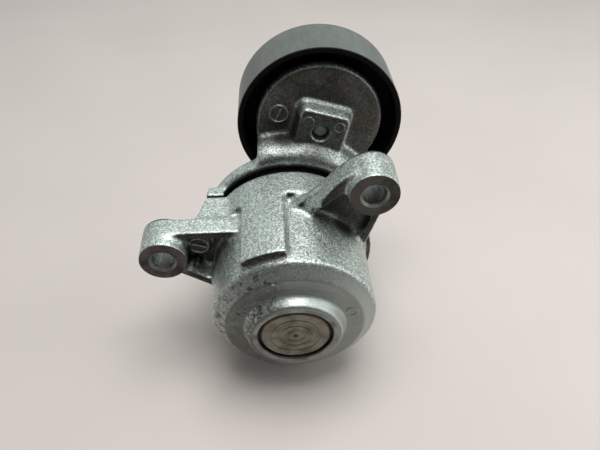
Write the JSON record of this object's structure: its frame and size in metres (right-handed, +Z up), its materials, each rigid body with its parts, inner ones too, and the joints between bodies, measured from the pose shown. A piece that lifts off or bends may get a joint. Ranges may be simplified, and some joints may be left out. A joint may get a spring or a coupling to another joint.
{
  "type": "belt tensioner idler",
  "caption": "Automatic belt tensioner: cast aluminium spring housing with bolt ears, swinging arm on a steel pivot shaft, and a smooth black idler pulley on a ball bearing.",
  "frame": {"origin": "the arm's pivot axis where it crosses the plane on which the two bolt ears seat", "axes": "+Y along the pivot axis from the housing's closed end towards the pulley, +Z up, towards the arm's free end; the pulley's axis is parallel to Y"},
  "size_m": [0.1108, 0.1007, 0.1208],
  "materials": {
    "cast_housing": "die-cast, fine grain",
    "cast_arm": "die-cast, fine grain",
    "shaft_steel": "turned",
    "bush_polymer": "satin",
    "friction_polymer": "satin",
    "seal_rubber": "matte",
    "spring_steel": "shot-peened, dark",
    "pulley_plastic": "satin",
    "bearing_steel": "ground",
    "cage_plastic": "satin",
    "bolt_steel": "zinc-plated",
    "shield_steel": "zinc-plated"
  },
  "bodies": {
    "housing": {"spring_housing": "cast_housing", "front_pivot_bush": "bush_polymer", "rear_pivot_bush": "bush_polymer", "head_thrust_washer": "bush_polymer", "head_seal_ring": "seal_rubber", "spring_seat": "friction_polymer", "torsion_spring": "spring_steel"},
    "arm": {"tensioner_arm": "cast_arm", "pivot_shaft": "shaft_steel", "arm_thrust_ring": "bush_polymer", "damper_sleeve": "friction_polymer", "rim_seal_ring": "seal_rubber", "bearing_inner_ring": "bearing_steel", "pulley_bolt": "bolt_steel", "dust_shield": "shield_steel"},
    "pulley": {"pulley": "pulley_plastic", "bearing_outer_ring": "bearing_steel", "bearing_seal_front": "seal_rubber", "bearing_seal_rear": "seal_rubber"},
    "ball_cage": {"bearing_cage": "cage_plastic", "bearing_ball_1": "bearing_steel", "bearing_ball_2": "bearing_steel", "bearing_ball_3": "bearing_steel", "bearing_ball_4": "bearing_steel", "bearing_ball_5": "bearing_steel", "bearing_ball_6": "bearing_steel", "bearing_ball_7": "bearing_steel", "bearing_ball_8": "bearing_steel"}
  },
  "joints": [
    {"name": "arm_pivot", "type": "hinge", "parent": "housing", "child": "arm", "pos_m": [0, 0, 0], "axis": [0, 1, 0], "range_deg": [0, 55], "stiffness_Nm_per_rad": 20, "springref_deg": -2.86, "deforming": ["torsion_spring"]},
    {"name": "pulley_spin", "type": "hinge", "parent": "arm", "child": "pulley", "pos_m": [0.0143, 0.045, 0.0473], "axis": [0, 1, 0], "continuous": true},
    {"name": "cage_spin", "type": "hinge", "parent": "arm", "child": "ball_cage", "pos_m": [0.0143, 0.045, 0.0473], "axis": [0, 1, 0], "continuous": true}
  ],
  "couplings": [
    {"joint": "cage_spin", "follows": "pulley_spin", "ratio": 0.6158}
  ]
}
